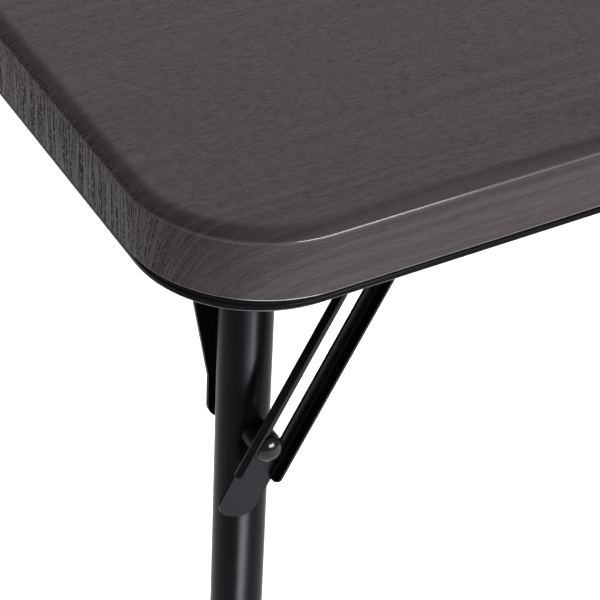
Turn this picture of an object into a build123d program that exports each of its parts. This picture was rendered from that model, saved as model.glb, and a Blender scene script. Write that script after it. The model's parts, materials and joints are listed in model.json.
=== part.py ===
from build123d import *
from math import acos, atan2, cos, degrees, hypot, radians, sin, sqrt, tan
import os

# Folding table: a wood-grain top on a black base panel, and four tubular legs.
# Each leg turns on its own bracket and is held open by a slotted stay.
# Millimetres.  +Z is up, X is the long direction, and Z = 0 is the floor.
# Every leg piece is modelled at the corner at -X, -Y and mirrored to the other three.

# ---- Overall -------------------------------------------------------------------------
TABLE_LENGTH = 1500.0
TABLE_WIDTH = 750.0
TABLE_HEIGHT = 730.0
CORNER_RADIUS = 65.0

# ---- Table top: decorative shell over a solid core -----------------------------------
SIDE_FACE_HEIGHT = 31.0        # upright face below the chamfer
CHAMFER_HEIGHT = 3.8
CHAMFER_WIDTH = 7.0
CHAMFER_SOFTENING = 1.2        # rounds both edges of the chamfer
SHELL_THICKNESS = 2.5

# ---- Base panel: black sheet that closes the underside -------------------------------
BASE_THICKNESS = 6.0
BASE_INSET = 1.8               # step back from the side face on the straight runs
BASE_HEM_RADIUS = 2.2          # rolled lower edge

# ---- Leg tube and foot ---------------------------------------------------------------
LEG_INSET = 53.6               # leg axis to the table's edge, both ways
LEG_DIAMETER = 25.4
LEG_WALL = 1.5
LEG_ABOVE_HINGE = 7.0          # tube left above the hinge axis
FOOT_WALL = 2.3
FOOT_HEIGHT = 32.0
FOOT_SOLE = 5.0
FOOT_EDGE_RADIUS = 2.5
FOOT_GROOVE = 0.8
FOOT_GROOVE_COUNT = 3
FOOT_GROOVE_PITCH = 5.0

# ---- Hinge bracket of the leg --------------------------------------------------------
SHEET = 2.0                    # pressed sheet of both brackets
LEG_TOP_CLEARANCE = 0.9        # swinging end of the tube to the bracket's flange
CHEEK_TOP_HALF = 24.5          # half width of a cheek at the panel
CHEEK_TIP_HALF = 9.5           # half width, and end radius, of the long cheek
CHEEK_NECK_DROP = 86.7         # where the long cheek's taper ends
CHEEK_BELOW_LOCK = 3.0         # centre of the long cheek's end below the lock pin
SHORT_CHEEK_RADIUS = 8.5
RIB_MARGIN = 6.5               # edge of the long cheek to its pressed rib
RIB_HEIGHT = 0.8
RIB_TOP_DROP = 12.0
RIB_BOTTOM_DROP = 72.0
BEND_RADIUS = 1.5
HINGE_PIN_DIAMETER = 8.0
HINGE_WASHER_DIAMETER = 15.0
HINGE_WASHER_THICKNESS = 3.2
HEAD_DIAMETER = 13.0           # domed heads of the two hinge rivets
HEAD_LAND = 0.7                # upright rim under a dome
HEAD_DOME = 2.6

# ---- Slotted stay --------------------------------------------------------------------
LOCK_PIN_DROP = 101.0          # lock pin below the base panel, leg open
STAY_ANGLE = 61.8              # stay above the horizontal, leg open
STAY_SHEET = 1.5
STAY_WIDTH = 23.9
STAY_FLANGE = 6.8              # flange height, web included
STAY_BEND_INNER = 1.5          # inner radius of the bends
STAY_TIP_ROUNDING = 0.25       # along the flanges' free edges
STAY_PAST_PIVOT = 6.0          # channel's upper end beyond the stay's pivot
STAY_TOP_CLEARANCE = 0.7       # turning end of the channel to the base panel
STAY_FLANGE_PAST_PIN = 16.2    # flanges' lower end beyond the lock pin
FLANGE_END_RADIUS = 4.0
SLOT_WIDTH = 8.2
SLOT_START = 10.6              # centre of the slot's upper end from the stay's pivot
PADDLE_PAST_PIN = 39.0         # finger paddle's end beyond the lock pin
PADDLE_INSET = 1.55            # paddle's edge inside the channel's side
PADDLE_CORNER_RADIUS = 8.0

# ---- Stay bracket --------------------------------------------------------------------
EAR_RADIUS = 10.0
EAR_GAP = 0.3                  # between the ear and the stay's web
STAY_FOOT_LENGTH = 34.0        # along X
STAY_FOOT_DEPTH = 16.0         # from the ear towards the leg
STAY_PIN_DIAMETER = 7.0

# ---- Lock pin ------------------------------------------------------------------------
LOCK_PIN_DIAMETER = 7.0
SPACER_DIAMETER = 14.0
SPACER_LENGTH = 10.2
SPACER_END_GAP = 0.3           # spacer to the slide collar
COLLAR_DIAMETER = 13.0
COLLAR_THICKNESS = 1.0
SLIDE_HEAD_DIAMETER = 14.2
SLIDE_HEAD_LAND = 0.9
SLIDE_HEAD_DOME = 3.8
TAIL_DIAMETER = 11.0
TAIL_LAND = 0.5
TAIL_DOME = 1.6

# ---- Screws --------------------------------------------------------------------------
SCREW_DIAMETER = 4.0
SCREW_HEAD_DIAMETER = 8.0
SCREW_HEAD_HEIGHT = 2.2
SCREW_IN_CORE = 15.0           # thread length in the core
RECESS_WIDTH = 1.1
RECESS_LENGTH = 4.4
RECESS_DEPTH = 1.2
BRACKET_SCREW_X = 34.0         # spacing along X
BRACKET_SCREW_Y = 18.0         # spacing along Y
STAY_SCREW_X = 20.0
BASE_SCREW_INSET = 16.0
BASE_SCREW_END = 150.0         # first screw of a long row to the table's end
BASE_SCREWS_LONG = 6
BASE_SCREWS_SHORT = 3

# ---- Clearances ----------------------------------------------------------------------
RUNNING = 0.05                 # radial, between pieces that turn or slide
SEATED = 0.02                  # radial, between pieces that stay together
FACE_PLAY = 0.1                # between faces that pass each other

# ---- Worked out from the sizes above -------------------------------------------------
TOP_THICKNESS = SIDE_FACE_HEIGHT + CHAMFER_HEIGHT
TOP_UNDERSIDE = TABLE_HEIGHT - TOP_THICKNESS
PANEL_UNDERSIDE = TOP_UNDERSIDE - BASE_THICKNESS
DIAGONAL_GAIN = sqrt(2.0) - 1.0
BASE_CORNER_RADIUS = CORNER_RADIUS - sqrt(2.0) * BASE_INSET / DIAGONAL_GAIN

LEG_X = -TABLE_LENGTH / 2.0 + LEG_INSET
LEG_Y = -TABLE_WIDTH / 2.0 + LEG_INSET
LEG_RADIUS = LEG_DIAMETER / 2.0
FOOT_DIAMETER = LEG_DIAMETER + 2 * FOOT_WALL
CHEEK_GAP = LEG_RADIUS + FACE_PLAY + HINGE_WASHER_THICKNESS
HINGE_DROP = hypot(LEG_RADIUS, LEG_ABOVE_HINGE) + LEG_TOP_CLEARANCE + SHEET
HINGE_Z = PANEL_UNDERSIDE - HINGE_DROP
LOCK_Z = PANEL_UNDERSIDE - LOCK_PIN_DROP
LOCK_RADIUS = HINGE_Z - LOCK_Z

SPACER_SEAT = LEG_Y - LEG_RADIUS - SEATED
SPACER_TIP = SPACER_SEAT - SPACER_LENGTH
WEB_BACK = SPACER_TIP - SPACER_END_GAP - COLLAR_THICKNESS - FACE_PLAY
WEB_FRONT = WEB_BACK - STAY_SHEET
EAR_FRONT = WEB_BACK + EAR_GAP
EAR_BACK = EAR_FRONT + SHEET
STAY_PIVOT_DROP = hypot(STAY_WIDTH / 2.0, STAY_PAST_PIVOT) + STAY_TOP_CLEARANCE
STAY_PIVOT_Z = PANEL_UNDERSIDE - STAY_PIVOT_DROP
STAY_PIVOT_X = LEG_X + (STAY_PIVOT_Z - LOCK_Z) / tan(radians(STAY_ANGLE))
PIN_DISTANCE_OPEN = hypot(STAY_PIVOT_X - LEG_X, STAY_PIVOT_Z - LOCK_Z)
FOLDED_REACH = LOCK_RADIUS - (STAY_PIVOT_X - LEG_X)
FOLDED_DROP = STAY_PIVOT_Z - HINGE_Z
PIN_DISTANCE_FOLDED = hypot(FOLDED_REACH, FOLDED_DROP)
STAY_TURN = 180.0 - STAY_ANGLE - degrees(atan2(FOLDED_DROP, FOLDED_REACH))
STAY_PLANE = Plane(
    origin=(STAY_PIVOT_X, WEB_BACK, STAY_PIVOT_Z),
    x_dir=(-cos(radians(STAY_ANGLE)), 0, -sin(radians(STAY_ANGLE))),
    z_dir=(0, -1, 0),
)
STAY_END = PIN_DISTANCE_OPEN + PADDLE_PAST_PIN
CHANNEL_LENGTH = STAY_PAST_PIVOT + PIN_DISTANCE_OPEN + STAY_FLANGE_PAST_PIN
SLOT_LENGTH = PIN_DISTANCE_OPEN - SLOT_START
STAY_BEND_OUTER = STAY_BEND_INNER + STAY_SHEET
PADDLE_WIDTH = STAY_WIDTH - 2 * PADDLE_INSET
PADDLE_LENGTH = PADDLE_PAST_PIN - STAY_FLANGE_PAST_PIN + 2 * PADDLE_CORNER_RADIUS
STAY_OUTWARD = Axis((0, 0, 0), STAY_PLANE.z_dir)
STAY_SECTION_PLANE = Plane(
    origin=STAY_PLANE.from_local_coords((-STAY_PAST_PIVOT, 0, 0)),
    x_dir=STAY_PLANE.y_dir,
    z_dir=STAY_PLANE.x_dir,
)

STAY_SCREW_Y = EAR_BACK + STAY_FOOT_DEPTH / 2.0


# ---- Shared shapes -------------------------------------------------------------------
def rounded_outline(length, width, radius, height):
    """Return a rounded rectangle centred on the Z axis, lying at a height."""
    with BuildSketch(Plane.XY.offset(height)) as outline:
        RectangleRounded(length, width, radius)
    return outline.sketch


def bevelled_board(shrink, bottom, top, mode=Mode.ADD):
    """Add or cut a board of the top's outline, shrunk all round, with its chamfer."""
    length = TABLE_LENGTH - 2 * shrink
    width = TABLE_WIDTH - 2 * shrink
    radius = CORNER_RADIUS - shrink
    shoulder = top - CHAMFER_HEIGHT
    rim = length - 2 * CHAMFER_WIDTH, width - 2 * CHAMFER_WIDTH, radius - CHAMFER_WIDTH
    extrude(rounded_outline(length, width, radius, bottom), amount=shoulder - bottom, mode=mode)
    loft([rounded_outline(length, width, radius, shoulder), rounded_outline(*rim, top)], mode=mode)


def discs(spots, radius, height):
    """Return level discs at a height, one on each spot."""
    with BuildSketch(Plane.XY.offset(height)) as shape:
        with Locations(*spots):
            Circle(radius)
    return shape.sketch


def cross_rod(x, z, radius, y_inner, y_outer, mode=Mode.ADD):
    """Add or cut a round rod along Y, from y_inner out to y_outer."""
    with BuildSketch(Plane.XZ.offset(-y_inner)) as end:
        with Locations((x, z)):
            Circle(radius)
    extrude(end.sketch, amount=y_inner - y_outer, mode=mode)


def cross_dome(x, z, diameter, land, dome, y_base, outward=True):
    """Add a domed rivet head on an axis along Y, with its flat side at y_base."""
    radius = diameter / 2.0
    sphere = (radius ** 2 + dome ** 2) / (2.0 * dome)
    rim_angle = degrees(acos(radius / sphere))
    centre = land + dome - sphere
    facing = -1 if outward else 1
    plane = Plane(origin=(x, y_base, z), x_dir=(1, 0, 0), z_dir=(0, 0, facing))
    with BuildSketch(plane) as profile:
        with BuildLine():
            Polyline((0, land + dome), (0, 0), (radius, 0), (radius, land))
            CenterArc((0, centre), sphere, rim_angle, 90.0 - rim_angle)
        make_face()
    revolve(profile.sketch, axis=Axis((x, y_base, z), (0, facing, 0)))


def wood_screws(spots, head_face, length):
    """Add pan-head screws that point up, each head seated on the face at head_face."""
    extrude(discs(spots, SCREW_DIAMETER / 2.0, head_face), amount=length)
    extrude(discs(spots, SCREW_HEAD_DIAMETER / 2.0, head_face), amount=-SCREW_HEAD_HEIGHT)
    fillet(edges().group_by(Axis.Z)[0], radius=SCREW_HEAD_HEIGHT / 2.0)
    with BuildSketch(Plane.XY.offset(head_face - SCREW_HEAD_HEIGHT)) as recess:
        with Locations(*spots):
            Rectangle(RECESS_LENGTH, RECESS_WIDTH)
            Rectangle(RECESS_WIDTH, RECESS_LENGTH)
    extrude(recess.sketch, amount=RECESS_DEPTH, mode=Mode.SUBTRACT)


def screw_holes(spots, bottom, depth, clearance):
    """Cut upright screw holes that start at the height called bottom."""
    extrude(discs(spots, SCREW_DIAMETER / 2.0 + clearance, bottom), amount=depth, mode=Mode.SUBTRACT)


# ---- Where the screws go -------------------------------------------------------------
HINGE_SCREW_SPOTS = [
    (LEG_X + side_x * BRACKET_SCREW_X / 2.0, LEG_Y + side_y * BRACKET_SCREW_Y / 2.0)
    for side_x in (-1, 1)
    for side_y in (-1, 1)
]
STAY_SCREW_SPOTS = [
    (STAY_PIVOT_X + side_x * STAY_SCREW_X / 2.0, STAY_SCREW_Y) for side_x in (-1, 1)
]
BRACKET_SCREW_SPOTS = [
    (flip_x * x, flip_y * y)
    for x, y in HINGE_SCREW_SPOTS + STAY_SCREW_SPOTS
    for flip_x in (1, -1)
    for flip_y in (1, -1)
]
ROW_LENGTH = TABLE_LENGTH - 2 * BASE_SCREW_END
ROW_PITCH = ROW_LENGTH / (BASE_SCREWS_LONG - 1)
COLUMN_PITCH = (TABLE_WIDTH - 2 * BASE_SCREW_END) / (BASE_SCREWS_SHORT - 1)
BASE_SCREW_SPOTS = [
    (-ROW_LENGTH / 2.0 + index * ROW_PITCH, side * (TABLE_WIDTH / 2.0 - BASE_SCREW_INSET))
    for index in range(BASE_SCREWS_LONG)
    for side in (-1, 1)
] + [
    (side * (TABLE_LENGTH / 2.0 - BASE_SCREW_INSET), (index - (BASE_SCREWS_SHORT - 1) / 2.0) * COLUMN_PITCH)
    for index in range(BASE_SCREWS_SHORT)
    for side in (-1, 1)
]
ALL_SCREW_SPOTS = BRACKET_SCREW_SPOTS + BASE_SCREW_SPOTS


# ---- Table top -----------------------------------------------------------------------
with BuildPart() as top_shell:
    bevelled_board(0.0, TOP_UNDERSIDE, TABLE_HEIGHT)
    top_edges = edges().group_by(Axis.Z)
    fillet(top_edges[-1], radius=CHAMFER_SOFTENING)
    shoulder_height = TABLE_HEIGHT - CHAMFER_HEIGHT
    shoulder_edges = [
        edge for edge in edges() if abs(edge.center().Z - shoulder_height) < CHAMFER_SOFTENING / 10
    ]
    fillet(shoulder_edges, radius=CHAMFER_SOFTENING)
    inner_top = TABLE_HEIGHT - SHELL_THICKNESS
    bevelled_board(SHELL_THICKNESS, TOP_UNDERSIDE, inner_top, mode=Mode.SUBTRACT)

with BuildPart() as top_core:
    bevelled_board(SHELL_THICKNESS + SEATED, TOP_UNDERSIDE, TABLE_HEIGHT - SHELL_THICKNESS)
    screw_holes(ALL_SCREW_SPOTS, TOP_UNDERSIDE, SCREW_IN_CORE + SCREW_DIAMETER / 2.0, SEATED)

with BuildPart() as base_panel:
    with BuildSketch(Plane.XY.offset(PANEL_UNDERSIDE)):
        RectangleRounded(
            TABLE_LENGTH - 2 * BASE_INSET, TABLE_WIDTH - 2 * BASE_INSET, BASE_CORNER_RADIUS
        )
    extrude(amount=BASE_THICKNESS)
    fillet(edges().group_by(Axis.Z)[0], radius=BASE_HEM_RADIUS)
    screw_holes(ALL_SCREW_SPOTS, PANEL_UNDERSIDE, BASE_THICKNESS, SEATED)

with BuildPart() as base_screws:
    wood_screws(BASE_SCREW_SPOTS, PANEL_UNDERSIDE, BASE_THICKNESS + SCREW_IN_CORE)


# ---- Leg -----------------------------------------------------------------------------
with BuildPart() as leg_tube:
    with BuildSketch(Plane.XY.offset(FOOT_SOLE)):
        with Locations((LEG_X, LEG_Y)):
            Circle(LEG_RADIUS)
            Circle(LEG_RADIUS - LEG_WALL, mode=Mode.SUBTRACT)
    extrude(amount=HINGE_Z + LEG_ABOVE_HINGE - FOOT_SOLE)
    across = LEG_Y + LEG_DIAMETER, LEG_Y - LEG_DIAMETER
    cross_rod(LEG_X, HINGE_Z, HINGE_PIN_DIAMETER / 2.0 + RUNNING, *across, mode=Mode.SUBTRACT)
    cross_rod(LEG_X, LOCK_Z, LOCK_PIN_DIAMETER / 2.0 + SEATED, *across, mode=Mode.SUBTRACT)

with BuildPart() as foot_cap:
    with BuildSketch(Plane.XY):
        with Locations((LEG_X, LEG_Y)):
            Circle(FOOT_DIAMETER / 2.0)
    extrude(amount=FOOT_HEIGHT)
    fillet(edges().group_by(Axis.Z)[0], radius=FOOT_EDGE_RADIUS)
    fillet(edges().group_by(Axis.Z)[-1], radius=FOOT_WALL / 3.0)
    with BuildSketch(Plane.XY.offset(FOOT_SOLE)):
        with Locations((LEG_X, LEG_Y)):
            Circle(LEG_RADIUS + SEATED)
    extrude(amount=FOOT_HEIGHT, mode=Mode.SUBTRACT)
    for index in range(FOOT_GROOVE_COUNT):
        groove_height = FOOT_HEIGHT - (index + 1.5) * FOOT_GROOVE_PITCH
        with BuildSketch(Plane.XY.offset(groove_height)):
            with Locations((LEG_X, LEG_Y)):
                Circle(FOOT_DIAMETER / 2.0 + FOOT_GROOVE)
                Circle(FOOT_DIAMETER / 2.0 - FOOT_GROOVE, mode=Mode.SUBTRACT)
        extrude(amount=FOOT_GROOVE, mode=Mode.SUBTRACT)


# ---- Hinge bracket -------------------------------------------------------------------
def cheek_taper(margin, top_drop, bottom_drop):
    """Return the corners of the long cheek's tapered stretch, or of the rib inside it."""
    slope = (CHEEK_TOP_HALF - CHEEK_TIP_HALF) / CHEEK_NECK_DROP
    top_half = CHEEK_TOP_HALF - slope * top_drop - margin
    bottom_half = CHEEK_TOP_HALF - slope * bottom_drop - margin
    top = PANEL_UNDERSIDE - top_drop
    bottom = PANEL_UNDERSIDE - bottom_drop
    return [
        (LEG_X - bottom_half, bottom),
        (LEG_X - top_half, top),
        (LEG_X + top_half, top),
        (LEG_X + bottom_half, bottom),
    ]


with BuildPart() as hinge_bracket:
    # base flange against the panel
    with BuildSketch(Plane.XY.offset(PANEL_UNDERSIDE)):
        with Locations((LEG_X, LEG_Y)):
            Rectangle(2 * CHEEK_TOP_HALF, 2 * (CHEEK_GAP + SHEET))
    extrude(amount=-SHEET)
    # long cheek on the table's inner side
    neck_height = PANEL_UNDERSIDE - CHEEK_NECK_DROP
    tip_height = LOCK_Z - CHEEK_BELOW_LOCK
    with BuildSketch(Plane.XZ.offset(-(LEG_Y + CHEEK_GAP + SHEET))):
        with BuildLine():
            Polyline(*cheek_taper(0.0, 0.0, CHEEK_NECK_DROP), close=True)
        make_face()
        with Locations((LEG_X, (neck_height + tip_height) / 2.0)):
            Rectangle(2 * CHEEK_TIP_HALF, neck_height - tip_height)
        with Locations((LEG_X, tip_height)):
            Circle(CHEEK_TIP_HALF)
    extrude(amount=SHEET)
    with BuildSketch(Plane.XZ.offset(-(LEG_Y + CHEEK_GAP))):
        with BuildLine():
            Polyline(*cheek_taper(RIB_MARGIN, RIB_TOP_DROP, RIB_BOTTOM_DROP), close=True)
        make_face()
        with Locations((LEG_X, HINGE_Z)):
            Circle(HINGE_WASHER_DIAMETER / 2.0 + FACE_PLAY, mode=Mode.SUBTRACT)
    extrude(amount=RIB_HEIGHT)
    # short cheek on the outer side
    with BuildSketch(Plane.XZ.offset(-(LEG_Y - CHEEK_GAP))):
        with BuildLine():
            Polyline(
                (LEG_X - SHORT_CHEEK_RADIUS, HINGE_Z),
                (LEG_X - CHEEK_TOP_HALF, PANEL_UNDERSIDE - SHEET),
                (LEG_X - CHEEK_TOP_HALF, PANEL_UNDERSIDE),
                (LEG_X + CHEEK_TOP_HALF, PANEL_UNDERSIDE),
                (LEG_X + CHEEK_TOP_HALF, PANEL_UNDERSIDE - SHEET),
                (LEG_X + SHORT_CHEEK_RADIUS, HINGE_Z),
                close=True,
            )
        make_face()
        with Locations((LEG_X, HINGE_Z)):
            Circle(SHORT_CHEEK_RADIUS)
    extrude(amount=SHEET)
    bends = edges().filter_by(Axis.X).group_by(Axis.Z)[-1]
    fillet(bends, radius=BEND_RADIUS)
    across = LEG_Y + LEG_DIAMETER, LEG_Y - LEG_DIAMETER
    cross_rod(LEG_X, HINGE_Z, HINGE_PIN_DIAMETER / 2.0 + SEATED, *across, mode=Mode.SUBTRACT)
    screw_holes(HINGE_SCREW_SPOTS, PANEL_UNDERSIDE - SHEET, SHEET, SEATED)

with BuildPart() as hinge_rivet:
    cheek_face = CHEEK_GAP + SHEET
    cross_rod(LEG_X, HINGE_Z, HINGE_PIN_DIAMETER / 2.0, LEG_Y + cheek_face, LEG_Y - cheek_face)
    cross_dome(LEG_X, HINGE_Z, HEAD_DIAMETER, HEAD_LAND, HEAD_DOME, LEG_Y - cheek_face)
    cross_dome(LEG_X, HINGE_Z, HEAD_DIAMETER, HEAD_LAND, HEAD_DOME, LEG_Y + cheek_face, outward=False)

with BuildPart() as hinge_washers:
    for inner_face, outer_face in (
        (LEG_Y + CHEEK_GAP, LEG_Y + LEG_RADIUS + FACE_PLAY),
        (LEG_Y - LEG_RADIUS - FACE_PLAY, LEG_Y - CHEEK_GAP),
    ):
        washer = LEG_X, HINGE_Z, HINGE_WASHER_DIAMETER / 2.0, inner_face, outer_face
        bore = LEG_X, HINGE_Z, HINGE_PIN_DIAMETER / 2.0 + SEATED, inner_face, outer_face
        cross_rod(*washer)
        cross_rod(*bore, mode=Mode.SUBTRACT)


# ---- Slotted stay --------------------------------------------------------------------
with BuildPart() as stay:
    with BuildSketch(STAY_SECTION_PLANE):
        RectangleRounded(STAY_WIDTH, 2 * STAY_FLANGE, STAY_BEND_OUTER, align=(Align.CENTER, Align.MIN))
        with Locations((0, STAY_SHEET)):
            RectangleRounded(
                STAY_WIDTH - 2 * STAY_SHEET,
                2 * STAY_FLANGE,
                STAY_BEND_INNER,
                align=(Align.CENTER, Align.MIN),
                mode=Mode.SUBTRACT,
            )
        with Locations((0, STAY_FLANGE)):
            Rectangle(
                2 * STAY_WIDTH, 2 * STAY_FLANGE, align=(Align.CENTER, Align.MIN), mode=Mode.SUBTRACT
            )
    extrude(amount=CHANNEL_LENGTH)
    across_stay = edges().filter_by(Axis((0, 0, 0), STAY_PLANE.y_dir))
    fillet(across_stay.group_by(STAY_OUTWARD)[-1], radius=FLANGE_END_RADIUS)
    along_stay = edges().filter_by(Axis((0, 0, 0), STAY_PLANE.x_dir))
    fillet(along_stay.group_by(STAY_OUTWARD)[-1], radius=STAY_TIP_ROUNDING)
    # flat finger paddle at the lower end
    with BuildSketch(STAY_PLANE):
        with Locations((STAY_END - PADDLE_LENGTH / 2.0, 0)):
            RectangleRounded(PADDLE_LENGTH, PADDLE_WIDTH, PADDLE_CORNER_RADIUS)
    extrude(amount=STAY_SHEET)
    with BuildSketch(STAY_PLANE):
        with Locations((SLOT_START + SLOT_LENGTH / 2.0, 0)):
            SlotCenterToCenter(SLOT_LENGTH, SLOT_WIDTH)
        Circle(STAY_PIN_DIAMETER / 2.0 + RUNNING)
    extrude(amount=STAY_SHEET, mode=Mode.SUBTRACT)

with BuildPart() as stay_bracket:
    # ear beside the stay
    with BuildSketch(Plane.XZ.offset(-EAR_BACK)):
        with Locations((STAY_PIVOT_X, STAY_PIVOT_Z)):
            Circle(EAR_RADIUS)
        with BuildLine():
            Polyline(
                (STAY_PIVOT_X - EAR_RADIUS, STAY_PIVOT_Z),
                (STAY_PIVOT_X - STAY_FOOT_LENGTH / 2.0, PANEL_UNDERSIDE - SHEET),
                (STAY_PIVOT_X - STAY_FOOT_LENGTH / 2.0, PANEL_UNDERSIDE),
                (STAY_PIVOT_X + STAY_FOOT_LENGTH / 2.0, PANEL_UNDERSIDE),
                (STAY_PIVOT_X + STAY_FOOT_LENGTH / 2.0, PANEL_UNDERSIDE - SHEET),
                (STAY_PIVOT_X + EAR_RADIUS, STAY_PIVOT_Z),
                close=True,
            )
        make_face()
    extrude(amount=SHEET)
    # foot against the panel
    with BuildSketch(Plane.XY.offset(PANEL_UNDERSIDE)):
        with Locations((STAY_PIVOT_X, (EAR_FRONT + EAR_BACK + STAY_FOOT_DEPTH) / 2.0)):
            Rectangle(STAY_FOOT_LENGTH, SHEET + STAY_FOOT_DEPTH)
    extrude(amount=-SHEET)
    bends = edges().filter_by(Axis.X).group_by(Axis.Z)[-1].sort_by(Axis.Y)[0]
    fillet(bends, radius=BEND_RADIUS)
    ear = STAY_PIVOT_X, STAY_PIVOT_Z, STAY_PIN_DIAMETER / 2.0 + SEATED, EAR_BACK, EAR_FRONT
    cross_rod(*ear, mode=Mode.SUBTRACT)
    screw_holes(STAY_SCREW_SPOTS, PANEL_UNDERSIDE - SHEET, SHEET, SEATED)

with BuildPart() as stay_rivet:
    head_face = WEB_FRONT - FACE_PLAY
    cross_rod(STAY_PIVOT_X, STAY_PIVOT_Z, STAY_PIN_DIAMETER / 2.0, EAR_BACK, head_face)
    cross_dome(STAY_PIVOT_X, STAY_PIVOT_Z, HEAD_DIAMETER, HEAD_LAND, HEAD_DOME, head_face)
    cross_dome(STAY_PIVOT_X, STAY_PIVOT_Z, TAIL_DIAMETER, TAIL_LAND, TAIL_DOME, EAR_BACK, outward=False)


# ---- Lock pin and slide head ---------------------------------------------------------
with BuildPart() as lock_pin:
    tail_face = LEG_Y + LEG_RADIUS + SEATED
    cross_rod(LEG_X, LOCK_Z, LOCK_PIN_DIAMETER / 2.0, tail_face, SPACER_TIP)
    cross_dome(LEG_X, LOCK_Z, TAIL_DIAMETER, TAIL_LAND, TAIL_DOME, tail_face, outward=False)

with BuildPart() as lock_spacer:
    bore_radius = LOCK_PIN_DIAMETER / 2.0 + SEATED
    cross_rod(LEG_X, LOCK_Z, SPACER_DIAMETER / 2.0, SPACER_SEAT, SPACER_TIP)
    cross_rod(LEG_X, LOCK_Z, bore_radius, SPACER_SEAT, SPACER_TIP, mode=Mode.SUBTRACT)

with BuildPart() as slide_head:
    collar_front = WEB_BACK + FACE_PLAY
    head_back = WEB_FRONT - FACE_PLAY
    cross_rod(LEG_X, LOCK_Z, COLLAR_DIAMETER / 2.0, collar_front + COLLAR_THICKNESS, collar_front)
    cross_rod(LEG_X, LOCK_Z, SLOT_WIDTH / 2.0 - RUNNING, collar_front, head_back)
    cross_dome(LEG_X, LOCK_Z, SLIDE_HEAD_DIAMETER, SLIDE_HEAD_LAND, SLIDE_HEAD_DOME, head_back)


# ---- Screws of one leg's brackets ----------------------------------------------------
with BuildPart() as bracket_screws:
    screw_length = SHEET + BASE_THICKNESS + SCREW_IN_CORE
    wood_screws(HINGE_SCREW_SPOTS + STAY_SCREW_SPOTS, PANEL_UNDERSIDE - SHEET, screw_length)


# ---- Write the pieces ----------------------------------------------------------------
os.makedirs("parts", exist_ok=True)

TABLE_PIECES = {
    "top_shell": top_shell,
    "top_core": top_core,
    "base_panel": base_panel,
    "base_screws": base_screws,
}
for node_name, piece in TABLE_PIECES.items():
    piece.part.label = node_name
    export_step(piece.part, f"parts/{node_name}.step")

CORNER_PIECES = {
    "leg_tube": leg_tube,
    "foot_cap": foot_cap,
    "hinge_bracket": hinge_bracket,
    "hinge_rivet": hinge_rivet,
    "hinge_washers": hinge_washers,
    "bracket_screws": bracket_screws,
    "stay": stay,
    "stay_bracket": stay_bracket,
    "stay_rivet": stay_rivet,
    "lock_pin": lock_pin,
    "lock_spacer": lock_spacer,
    "slide_head": slide_head,
}
CORNERS = {
    "front_left": (),
    "front_right": (Plane.YZ,),
    "back_left": (Plane.XZ,),
    "back_right": (Plane.YZ, Plane.XZ),
}
for corner_name, mirror_planes in CORNERS.items():
    for piece_name, piece in CORNER_PIECES.items():
        shape = piece.part
        for mirror_plane in mirror_planes:
            shape = mirror(shape, about=mirror_plane)
        with BuildPart() as node:
            add(shape)
        node_name = f"{piece_name}_{corner_name}"
        node.part.label = node_name
        export_step(node.part, f"parts/{node_name}.step")

print(f"leg axis            {LEG_X:.3f} {LEG_Y:.3f}")
print(f"hinge height        {HINGE_Z:.3f}")
print(f"lock pin height     {LOCK_Z:.3f}")
print(f"stay pivot          {STAY_PIVOT_X:.4f} {STAY_PIVOT_Z:.3f}")
print(f"stay turn           {STAY_TURN:.4f} deg for 90 deg of leg")
print(f"slide travel        {PIN_DISTANCE_OPEN - PIN_DISTANCE_FOLDED:.4f}")
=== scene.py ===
import json
from math import cos, pi, radians, sin, sqrt, tan

import bmesh
import bpy
from mathutils import Euler, Matrix, Vector


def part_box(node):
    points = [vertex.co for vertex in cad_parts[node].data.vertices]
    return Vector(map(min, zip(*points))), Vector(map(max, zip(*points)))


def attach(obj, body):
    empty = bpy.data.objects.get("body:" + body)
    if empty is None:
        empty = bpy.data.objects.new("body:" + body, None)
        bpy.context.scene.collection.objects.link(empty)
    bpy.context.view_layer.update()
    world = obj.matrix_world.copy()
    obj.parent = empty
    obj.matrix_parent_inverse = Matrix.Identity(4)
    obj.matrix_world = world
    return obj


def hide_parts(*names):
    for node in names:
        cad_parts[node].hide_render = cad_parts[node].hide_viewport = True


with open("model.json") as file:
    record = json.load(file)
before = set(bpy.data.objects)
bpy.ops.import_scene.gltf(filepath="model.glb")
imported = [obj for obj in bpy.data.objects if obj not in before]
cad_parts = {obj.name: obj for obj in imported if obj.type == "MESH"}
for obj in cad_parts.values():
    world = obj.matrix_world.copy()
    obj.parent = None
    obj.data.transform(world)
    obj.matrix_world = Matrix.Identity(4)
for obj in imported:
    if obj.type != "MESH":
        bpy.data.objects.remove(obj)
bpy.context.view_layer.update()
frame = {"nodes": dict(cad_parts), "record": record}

# A folding table seen from above one corner: a wood-grain top with a soft chamfer on a glossy
# black base, and black powder-coated legs with slotted stays.  Metres, +Z up, floor at Z = 0.

MM = 0.001
SHELL_LOW, SHELL_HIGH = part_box("top_shell")
BASE_LOW, BASE_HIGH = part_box("base_panel")

# The top's edge
CORNER_RADIUS = 65.0 * MM
CHAMFER_WIDTH = 7.0 * MM
CHAMFER_HEIGHT = 3.8 * MM
BOTTOM_ROUND = 1.2 * MM
EDGE_ROUND = 1.5 * MM
INNER_ROUND = 9.0 * MM
WALL = 2.4 * MM
LIP_REACH = 5.0 * MM
LIP_RISE = 0.3 * MM
EDGE_REACH = CHAMFER_WIDTH + 3.0 * MM
FIELD_RING = 5.0 * MM

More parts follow.
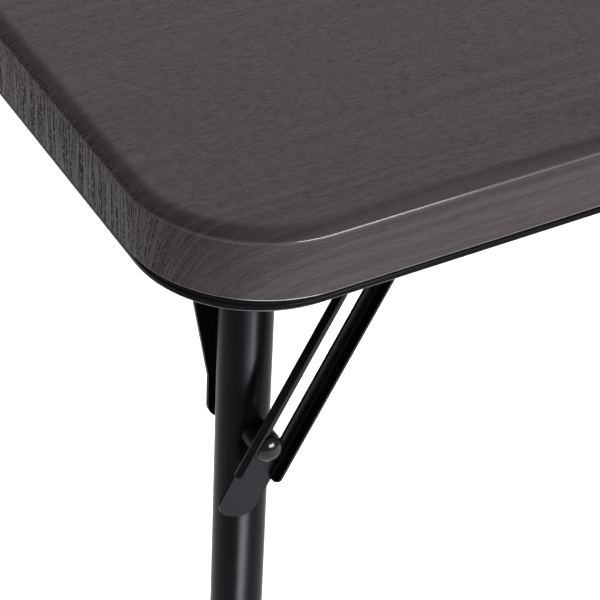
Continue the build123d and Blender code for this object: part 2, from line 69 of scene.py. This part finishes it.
# The base's edge
RIM_INSET = BASE_LOW.x - SHELL_LOW.x
BEAD = 1.5 * MM
BEAD_TOP = 2.2 * BEAD
BEAD_FOOT = 3.6 * MM
BEAD_SLOPE = 0.9 * MM
BAND_INSET = 0.7 * MM
BAND_START = 2.6 * BEAD
SHADOW_GAP = 0.3 * MM
SHADOW_REACH = 2.5 * MM
UNDERSIDE_RISE = 0.8 * MM
UNDERSIDE_REACH = 12.0 * MM

# A profile's points no further in than this are on the side, where the ticks may show
SIDE_DEPTH = 1.6 * MM
# How fast the end faces' ticks die out round a corner
END_FALLOFF = 6


# ---- Node helpers ------------------------------------------------------------------------------
class Nodes:
    """A short way to write a node tree."""

    def __init__(self, name):
        self.material = bpy.data.materials.new(name)
        self.material.use_nodes = True
        self.tree = self.material.node_tree
        self.shader = self.tree.nodes["Principled BSDF"]

    def add(self, kind, inputs=None, **settings):
        """Make a node; inputs maps a socket's name or number to a value or to another socket."""
        node = self.tree.nodes.new(kind)
        for key, value in settings.items():
            setattr(node, key, value)
        for key, value in (inputs or {}).items():
            self.set(node.inputs[key], value)
        return node

    def set(self, socket, value):
        if isinstance(value, bpy.types.NodeSocket):
            self.tree.links.new(value, socket)
        else:
            socket.default_value = value

    def math(self, operation, first, second=0.0, third=0.0):
        inputs = {0: first, 1: second, 2: third}
        return self.add("ShaderNodeMath", inputs, operation=operation).outputs[0]

    def product(self, first, second):
        return self.math("MULTIPLY", first, second)

    def linear(self, value, slope, start):
        """slope * value + start."""
        return self.math("MULTIPLY_ADD", value, slope, start)

    def noise(self, vector, scale=1.0, detail=3.0, roughness=0.5):
        inputs = {"Vector": vector, "Scale": scale, "Detail": detail, "Roughness": roughness}
        return self.add("ShaderNodeTexNoise", inputs).outputs["Fac"]

    def scaled(self, vector, *scale):
        return self.add("ShaderNodeMapping", {"Vector": vector, "Scale": scale}).outputs["Vector"]

    def ramp(self, value, low, high):
        """Map low..high to 0..1, smoothly, and clamp."""
        inputs = {"Value": value, "From Min": low, "From Max": high}
        return self.add("ShaderNodeMapRange", inputs, interpolation_type="SMOOTHSTEP").outputs["Result"]

    def mix(self, factor, first, second):
        inputs = {0: factor, 6: first, 7: second}
        return self.add("ShaderNodeMix", data_type="RGBA", inputs=inputs).outputs[2]

    def bump(self, height, strength, distance):
        inputs = {"Height": height, "Strength": strength, "Distance": distance}
        return self.add("ShaderNodeBump", inputs).outputs["Normal"]

    def attribute(self, name):
        return self.add("ShaderNodeAttribute", attribute_name=name).outputs["Fac"]

    def object_place(self):
        return self.add("ShaderNodeTexCoord").outputs["Object"]

    def shade(self, **sockets):
        for key, value in sockets.items():
            self.set(self.shader.inputs[key.replace("_", " ")], value)
        return self.material


def rgb(red, green, blue):
    """Colour of a surface from its 0-255 display values."""
    def linear(value):
        value /= 255.0
        return value / 12.92 if value <= 0.04045 else ((value + 0.055) / 1.055) ** 2.4
    return linear(red), linear(green), linear(blue), 1.0


# ---- Materials ---------------------------------------------------------------------------------
WAVE_HEIGHT = 7.0 * MM


def wood_film():
    """Dark grey-brown decorative film with fine embossed pores that run along the table.

    Long beaded ticks mark the end faces, where the film turns down across the grain.  A noise's
    scale is in features per metre along the grain, then across it.
    """
    n = Nodes("wood_film")
    film = n.add("ShaderNodeUVMap", uv_map="film").outputs["UV"]
    gloss = n.attribute("gloss")
    end = n.attribute("end")
    # slow waves that bend the grain
    wave = n.noise(n.scaled(film, 16.0, 20.0, 1.0), detail=2.0)
    wave = n.linear(wave, WAVE_HEIGHT, -WAVE_HEIGHT / 2.0)
    shift = n.add("ShaderNodeCombineXYZ", {"X": 0.0, "Y": wave, "Z": 0.0}).outputs[0]
    grain = n.add("ShaderNodeVectorMath", {0: film, 1: shift}, operation="ADD").outputs[0]
    # thin broken pores, pressed ridges between them and long streaks
    pore = n.noise(n.scaled(grain, 170.0, 1500.0, 1.0), detail=2.0, roughness=0.55)
    ridge = n.noise(n.scaled(grain, 130.0, 1200.0, 1.0), detail=2.0, roughness=0.6)
    lift = n.ramp(ridge, 0.52, 0.66)
    streak = n.noise(n.scaled(grain, 3.0, 170.0, 1.0), detail=4.0, roughness=0.65)
    # long beaded ticks, only where the film turns down across the grain
    tick = n.noise(n.scaled(film, 28.0, 900.0, 1.0), detail=2.0)
    bead = n.noise(n.scaled(film, 520.0, 420.0, 1.0), detail=2.0)
    tick = n.product(n.ramp(tick, 0.47, 0.57), n.ramp(bead, 0.36, 0.54))
    tick = n.product(tick, end)
    dash = n.math("MAXIMUM", n.ramp(pore, 0.52, 0.64), tick)
    cloud = n.noise(n.scaled(film, 6.0, 9.0, 1.0), detail=2.0)
    speck = n.noise(film, 1300.0, detail=1.0)
    colour = n.mix(n.ramp(streak, 0.38, 0.62), rgb(53, 46, 49), rgb(65, 59, 63))
    colour = n.mix(n.ramp(cloud, 0.35, 0.7), colour, rgb(61, 51, 51))
    colour = n.mix(n.product(dash, n.linear(end, 0.12, 0.16)), colour, rgb(22, 17, 17))
    colour = n.mix(n.product(tick, 0.9), colour, rgb(20, 15, 13))
    colour = n.mix(n.product(lift, n.linear(end, 0.22, 0.10)), colour, rgb(84, 76, 74))
    height = n.linear(dash, -1.0, n.product(lift, 0.8))
    height = n.linear(speck, 0.15, height)
    # the film is stretched smooth where it turns over an edge
    height = n.product(height, n.linear(gloss, -0.7, 1.0))
    rough = n.linear(lift, -0.10, 0.50)
    rough = n.linear(dash, 0.12, rough)
    rough = n.linear(tick, 0.35, rough)
    return n.shade(
        Base_Color=colour,
        Roughness=rough,
        Normal=n.bump(height, 0.45, 0.12 * MM),
        IOR=1.46,
        Specular_IOR_Level=0.12,
        Coat_Weight=n.product(gloss, n.linear(end, -0.62, 0.7)),
        Coat_Roughness=0.14,
        Coat_IOR=1.9,
    )


def coated_steel(name, base, lift, roughness, grain, depth, specular):
    """Black paint on steel: faint orange peel, dust in the tone, uneven sheen, a glossy bead."""
    n = Nodes(name)
    place = n.object_place()
    peel = n.noise(place, grain, detail=2.0)
    fine = n.noise(place, grain * 5.0, detail=1.0)
    cloud = n.noise(place, 26.0, detail=3.0)
    return n.shade(
        Base_Color=n.mix(n.ramp(cloud, 0.35, 0.7), base, lift),
        Roughness=n.linear(cloud, 0.08, roughness - 0.04),
        Normal=n.bump(n.linear(fine, 0.35, peel), 0.35, depth),
        IOR=1.45,
        Specular_IOR_Level=specular,
        Coat_Weight=n.product(n.attribute("gloss"), 0.35),
        Coat_Roughness=0.12,
    )


def rubber():
    n = Nodes("foot_rubber")
    place = n.object_place()
    fine = n.noise(place, 900.0, detail=2.0)
    scuff = n.noise(n.scaled(place, 60.0, 60.0, 20.0), detail=4.0)
    colour = n.mix(n.ramp(scuff, 0.45, 0.75), rgb(34, 34, 35), rgb(58, 57, 56))
    return n.shade(
        Base_Color=colour, Roughness=n.linear(scuff, 0.2, 0.6), Normal=n.bump(fine, 0.4, 0.1 * MM)
    )


def core_board():
    n = Nodes("core_board")
    chips = n.noise(n.scaled(n.object_place(), 160.0, 160.0, 400.0), detail=4.0)
    colour = n.mix(n.ramp(chips, 0.35, 0.65), rgb(150, 118, 84), rgb(186, 154, 116))
    return n.shade(Base_Color=colour, Roughness=0.8, Normal=n.bump(chips, 0.4, 0.2 * MM))


def zinc():
    n = Nodes("zinc_screw")
    brushed = n.noise(n.object_place(), 1200.0, detail=3.0)
    return n.shade(
        Base_Color=n.mix(brushed, rgb(120, 120, 124), rgb(164, 163, 160)),
        Roughness=n.linear(brushed, 0.18, 0.28),
        Metallic=1.0,
        Normal=n.bump(brushed, 0.2, 0.05 * MM),
    )


MATERIALS = {
    "wood_grain": wood_film(),
    "core_board": core_board(),
    "black_base": coated_steel(
        "black_base", base=rgb(13, 13, 15), lift=rgb(18, 18, 20),
        roughness=0.20, grain=500.0, depth=0.03 * MM, specular=0.03,
    ),
    "black_steel": coated_steel(
        "black_steel", base=rgb(9, 9, 12), lift=rgb(13, 13, 17),
        roughness=0.30, grain=900.0, depth=0.03 * MM, specular=0.035,
    ),
    "rivet_steel": coated_steel(
        "rivet_steel", base=rgb(13, 13, 16), lift=rgb(19, 19, 22),
        roughness=0.16, grain=700.0, depth=0.02 * MM, specular=0.38,
    ),
    "zinc_screw": zinc(),
    "nylon": coated_steel(
        "nylon", base=rgb(30, 30, 30), lift=rgb(36, 36, 36),
        roughness=0.5, grain=800.0, depth=0.03 * MM, specular=0.4,
    ),
    "black_rubber": rubber(),
}


def paint(piece, slot):
    piece.data.materials.clear()
    piece.data.materials.append(MATERIALS[slot])


# ---- Swept edges ---------------------------------------------------------------------------------
def rounded_profile(corners, steps=6):
    """Round each (inset, height, radius, gloss) corner of an open profile with an arc.

    Returns (place, gloss) pairs: the arc of a corner has its gloss, and a flat has none.
    """
    points = []
    for index, (inset, height, radius, gloss) in enumerate(corners):
        here = Vector((inset, height))
        if radius <= 0.0 or index in (0, len(corners) - 1):
            points.append((here, gloss))
            continue
        back = (Vector(corners[index - 1][:2]) - here).normalized()
        ahead = (Vector(corners[index + 1][:2]) - here).normalized()
        half = back.angle(ahead) / 2.0
        centre = here + (back + ahead).normalized() * (radius / sin(half))
        arm = here + back * (radius / tan(half)) - centre
        side = 1.0 if back.x * ahead.y - back.y * ahead.x < 0 else -1.0
        turn = Matrix.Rotation(side * (pi - 2.0 * half) / steps, 2)
        for step in range(steps + 1):
            points.append((centre + arm, 0.0 if step in (0, steps) else gloss))
            arm = turn @ arm
    return points


def outline(length, width, radius, arc_steps=28, straight_steps=16):
    """Points and outward normals of a rounded rectangle, anticlockwise from +X."""
    points = []
    for quarter, (sx, sy) in enumerate(((1, 1), (-1, 1), (-1, -1), (1, -1))):
        centre = Vector((sx * (length / 2.0 - radius), sy * (width / 2.0 - radius)))
        for step in range(arc_steps + 1):
            angle = (quarter + step / arc_steps) * pi / 2.0
            normal = Vector((cos(angle), sin(angle)))
            points.append((centre + normal * radius, normal))
        end, normal = points[-1]
        run = (width - 2.0 * radius) if quarter % 2 else (length - 2.0 * radius)
        along = Vector((-normal.y, normal.x))
        for step in range(1, straight_steps):
            points.append((end + along * run * step / straight_steps, normal))
    return points


def swept_board(name, ring, profile, close_low=True, close_high=True):
    """Sweep a profile round a ring, with a film map that wraps over the edge.

    The "gloss" attribute is the profile's.  "end" is 1 on upright faces that look along X, and
    falls to 0 round the corner.
    """
    mesh = bpy.data.meshes.new(name)
    board = bmesh.new()
    film = board.loops.layers.uv.new("film")
    gloss_layer = board.verts.layers.float.new("gloss")
    end_layer = board.verts.layers.float.new("end")
    flat = {}
    rows = []
    left = sum((after[0] - before[0]).length for before, after in zip(profile, profile[1:]))
    last = profile[0][0]
    for place, gloss in profile:
        left -= (place - last).length
        last = place
        row = []
        for point, normal in ring:
            spot = point - normal * place.x
            vertex = board.verts.new((spot.x, spot.y, place.y))
            vertex[gloss_layer] = gloss
            vertex[end_layer] = normal.x ** END_FALLOFF if place.x < SIDE_DEPTH else 0.0
            flat[vertex] = point - normal * profile[-1][0].x + normal * left
            row.append(vertex)
        rows.append(row)
    count = len(ring)
    for low, high in zip(rows, rows[1:]):
        for index in range(count):
            after = (index + 1) % count
            board.faces.new((low[index], low[after], high[after], high[index]))
    if close_high:
        board.faces.new(rows[-1])
    if close_low:
        board.faces.new(list(reversed(rows[0])))
    for face in board.faces:
        face.smooth = True
        for loop in face.loops:
            loop[film].uv = flat[loop.vert]
    board.normal_update()
    board.to_mesh(mesh)
    board.free()
    piece = bpy.data.objects.new(name, mesh)
    bpy.context.scene.collection.objects.link(piece)
    return piece


def wood_top():
    """The decorative shell: an edge with a soft chamfer and small rounds, and a flat field."""
    low, high = SHELL_LOW.z, SHELL_HIGH.z
    ring = outline(SHELL_HIGH.x - SHELL_LOW.x, SHELL_HIGH.y - SHELL_LOW.y, CORNER_RADIUS)
    side_and_chamfer = rounded_profile([
        (LIP_REACH, low + LIP_RISE, 0.0, 0.0),
        (WALL, low + LIP_RISE, 0.0, 0.0),
        (WALL, low, 0.0, 0.0),
        (0.0, low, BOTTOM_ROUND, 1.0),
        (0.0, high - CHAMFER_HEIGHT, EDGE_ROUND, 1.0),
        (CHAMFER_WIDTH, high, INNER_ROUND, 0.0),
        (EDGE_REACH, high, 0.0, 0.0),
    ])
    inner = rounded_profile([(EDGE_REACH, high, 0.0, 0.0), (EDGE_REACH + FIELD_RING, high, 0.0, 0.0)])
    edge = swept_board("wood_edge", ring, side_and_chamfer, close_low=False, close_high=False)
    field = swept_board("wood_field", ring, inner, close_low=False)
    for piece in (edge, field):
        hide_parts("top_shell")
        paint(piece, "wood_grain")
        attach(piece, "table_top")


def base_tray():
    """The base panel: a plain band under a thin shadow gap, and a rolled bead along the bottom.

    Its corner radius brings it level with the shell's corner on the diagonal.
    """
    low, high = BASE_LOW.z, BASE_HIGH.z
    length, width = BASE_HIGH.x - BASE_LOW.x, BASE_HIGH.y - BASE_LOW.y
    radius = CORNER_RADIUS - RIM_INSET * sqrt(2.0) / (sqrt(2.0) - 1.0)
    profile = rounded_profile([
        (UNDERSIDE_REACH, low + UNDERSIDE_RISE, 0.0, 0.0),
        (BEAD_FOOT + BEAD_SLOPE, low + UNDERSIDE_RISE, 1.0 * MM, 0.0),
        (BEAD_FOOT, low, 0.8 * MM, 0.0),
        (0.0, low, BEAD, 1.0),
        (0.0, low + BEAD_TOP, 0.7 * MM, 0.5),
        (BAND_INSET, low + BAND_START, 0.5 * MM, 0.0),
        (BAND_INSET, high - SHADOW_GAP, 0.3 * MM, 0.0),
        (SHADOW_REACH, high, 0.0, 0.0),
    ])
    piece = swept_board("base_tray", outline(length, width, radius), profile)
    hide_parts("base_panel")
    paint(piece, "black_base")
    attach(piece, "table_top")


# ---- CAD pieces ----------------------------------------------------------------------------------
def finish_cad_nodes():
    slots = {entry["node"]: entry["material_slot"] for entry in frame["record"]["subparts"]}
    for name, node in frame["nodes"].items():
        paint(node, slots[name])


def cad_nodes(*starts):
    return [node for name, node in frame["nodes"].items() if name.startswith(starts)]


# ---- Studio --------------------------------------------------------------------------------------
FLOOR_GLOW = 0.64
FLOOR_DROP = 0.5 * MM
STUDIO_REACH = 14.0
WALL_FOOT = -1.0
WALL_HEIGHT = 12.0
WALL_STEPS = 48


def floor_paint():
    n = Nodes("studio_floor")
    tone = n.mix(n.noise(n.object_place(), 0.6), (0.86, 0.86, 0.86, 1.0), (0.9, 0.9, 0.9, 1.0))
    white = (1.0, 1.0, 1.0, 1.0)
    return n.shade(Base_Color=tone, Roughness=0.9, Emission_Color=white, Emission_Strength=FLOOR_GLOW)


def backdrop_paint():
    n = Nodes("studio_backdrop")
    tone = n.mix(n.noise(n.object_place(), 0.3), (0.97, 0.97, 0.97, 1.0), (1.0, 1.0, 1.0, 1.0))
    return n.shade(Base_Color=tone, Roughness=0.9, Emission_Color=tone, Emission_Strength=1.0)


def staged(name, points, faces, material):
    """A piece of the studio, which isn't part of the object."""
    mesh = bpy.data.meshes.new(name)
    mesh.from_pydata(points, [], faces)
    mesh.materials.append(material)
    piece = bpy.data.objects.new(name, mesh)
    bpy.context.scene.collection.objects.link(piece)
    return piece


def studio():
    """A pale floor, and a round pale wall far behind that lights nothing."""
    signs = ((-1, -1), (1, -1), (1, 1), (-1, 1))
    square = [(sx * STUDIO_REACH, sy * STUDIO_REACH, 0.0) for sx, sy in signs]
    floor = staged("studio_floor", square, [(0, 1, 2, 3)], floor_paint())
    floor.location.z = -FLOOR_DROP
    turns = [2.0 * pi * step / WALL_STEPS for step in range(WALL_STEPS)]
    ring = [(STUDIO_REACH * cos(turn), STUDIO_REACH * sin(turn)) for turn in turns]
    points = [(x, y, z) for z in (WALL_FOOT, WALL_HEIGHT) for x, y in ring]
    pairs = [(step, (step + 1) % WALL_STEPS) for step in range(WALL_STEPS)]
    faces = [(start, after, WALL_STEPS + after, WALL_STEPS + start) for start, after in pairs]
    wall = staged("studio_backdrop", points, faces, backdrop_paint())
    wall.visible_diffuse = wall.visible_glossy = wall.visible_shadow = False


# Places of the lights and the camera are from the bottom of the top's front left corner.
CORNER = Vector((SHELL_LOW.x, SHELL_LOW.y, SHELL_LOW.z))
FRONT_LIGHT = CORNER + Vector((3.60, -3.00, 1.30))
BACK_LIGHT = CORNER + Vector((1.10, 1.90, 1.75))
GLINT_LIGHT = CORNER + Vector((0.66, -2.30, 0.95))
CARD_HEIGHT = 0.03
COOL_WHITE = (0.86, 0.91, 1.0)
WORLD_LIGHT = 0.38


def softbox(name, place, turn, width, height, power, colour=(1.0, 1.0, 1.0)):
    """A soft light that the camera sees only by its glow and its reflections."""
    light = bpy.data.lights.new(name, "AREA")
    light.shape = "RECTANGLE"
    light.size, light.size_y = width, height
    light.energy = power
    light.color = colour
    lamp = bpy.data.objects.new(name, light)
    lamp.location = place
    lamp.rotation_euler = turn
    lamp.visible_camera = False
    bpy.context.scene.collection.objects.link(lamp)
    return lamp


def at_corner(place):
    """The turn of a light at this place that faces the corner."""
    return (CORNER - place).to_track_quat("-Z", "Y").to_euler()


def card(name, across, ahead, width, depth, power, heading=0.0):
    """A bright card low over the floor that faces up, its depth turned from -Y toward +X."""
    place = Vector((CORNER.x + across, CORNER.y - ahead, CARD_HEIGHT))
    return softbox(name, place, Euler((pi, 0.0, heading)), width, depth, power, COOL_WHITE)


def glint_only(lamp, pieces):
    """Leave only a light's reflections, on these pieces alone."""
    lamp.visible_diffuse = False
    lit = bpy.data.collections.new(lamp.name)
    for piece in pieces:
        lit.objects.link(piece)
    lamp.light_linking.receiver_collection = lit


def lights():
    edge = [bpy.data.objects["wood_edge"], bpy.data.objects["base_tray"]]
    heads = cad_nodes("slide_head", "lock_", "hinge_rivet")
    front = softbox("front", FRONT_LIGHT, at_corner(FRONT_LIGHT), width=1.6, height=1.2, power=300.0)
    front.visible_glossy = False
    softbox("back", BACK_LIGHT, at_corner(BACK_LIGHT), width=3.0, height=2.0, power=52.0)
    # lights whose reflections draw the chamfer's lower edge and the rivet heads
    for name, power, pieces in (("edge_glint", 42.0, edge), ("head_glint", 100.0, heads)):
        lamp = softbox(name, GLINT_LIGHT, at_corner(GLINT_LIGHT), width=1.4, height=0.8, power=power)
        glint_only(lamp, pieces)
    # low cards in front: a cool glow on the stays, and a strip down each leg
    glow = card("stay_card", 0.44, 0.585, width=0.50, depth=0.44, power=6.5)
    glint_only(glow, cad_nodes("stay_"))
    strip = card("leg_card", 0.055, 0.585, width=0.15, depth=0.62, power=26.0, heading=radians(32.5))
    glint_only(strip, cad_nodes("leg_tube"))
    # a card close under the corner: a light line along the wood's bottom edge and the bead
    glint_only(card("edge_card", 0.05, 0.265, width=0.50, depth=0.28, power=5.0), edge)
    world = bpy.data.worlds.new("studio")
    world.use_nodes = True
    background = world.node_tree.nodes["Background"]
    background.inputs["Color"].default_value = (1.0, 1.0, 1.0, 1.0)
    background.inputs["Strength"].default_value = WORLD_LIGHT
    bpy.context.scene.world = world


CAMERA_PLACE = CORNER + Vector((-0.365, -0.688, 0.647))
CAMERA_AZIMUTH = radians(31.04)
CAMERA_ELEVATION = radians(38.79)
CAMERA_ROLL = radians(2.99)
CAMERA_LENS = 147.7


def camera():
    """Above the front left corner, turned and tipped, with a long lens."""
    level_part = cos(CAMERA_ELEVATION)
    ahead = Vector((
        sin(CAMERA_AZIMUTH) * level_part, cos(CAMERA_AZIMUTH) * level_part, -sin(CAMERA_ELEVATION)
    ))
    level = ahead.cross(Vector((0, 0, 1))).normalized()
    upright = level.cross(ahead)
    right = cos(CAMERA_ROLL) * level + sin(CAMERA_ROLL) * upright
    up = -sin(CAMERA_ROLL) * level + cos(CAMERA_ROLL) * upright
    view = bpy.data.cameras.new("camera")
    view.sensor_width = 36.0
    view.lens = CAMERA_LENS
    view.clip_end = 60.0
    eye = bpy.data.objects.new("camera", view)
    turn = Matrix((right, up, -ahead)).transposed()
    eye.matrix_world = Matrix.Translation(CAMERA_PLACE) @ turn.to_4x4()
    bpy.context.scene.collection.objects.link(eye)
    bpy.context.scene.camera = eye


wood_top()
base_tray()
finish_cad_nodes()
studio()
lights()
camera()
bpy.context.scene.view_settings.view_transform = "Standard"
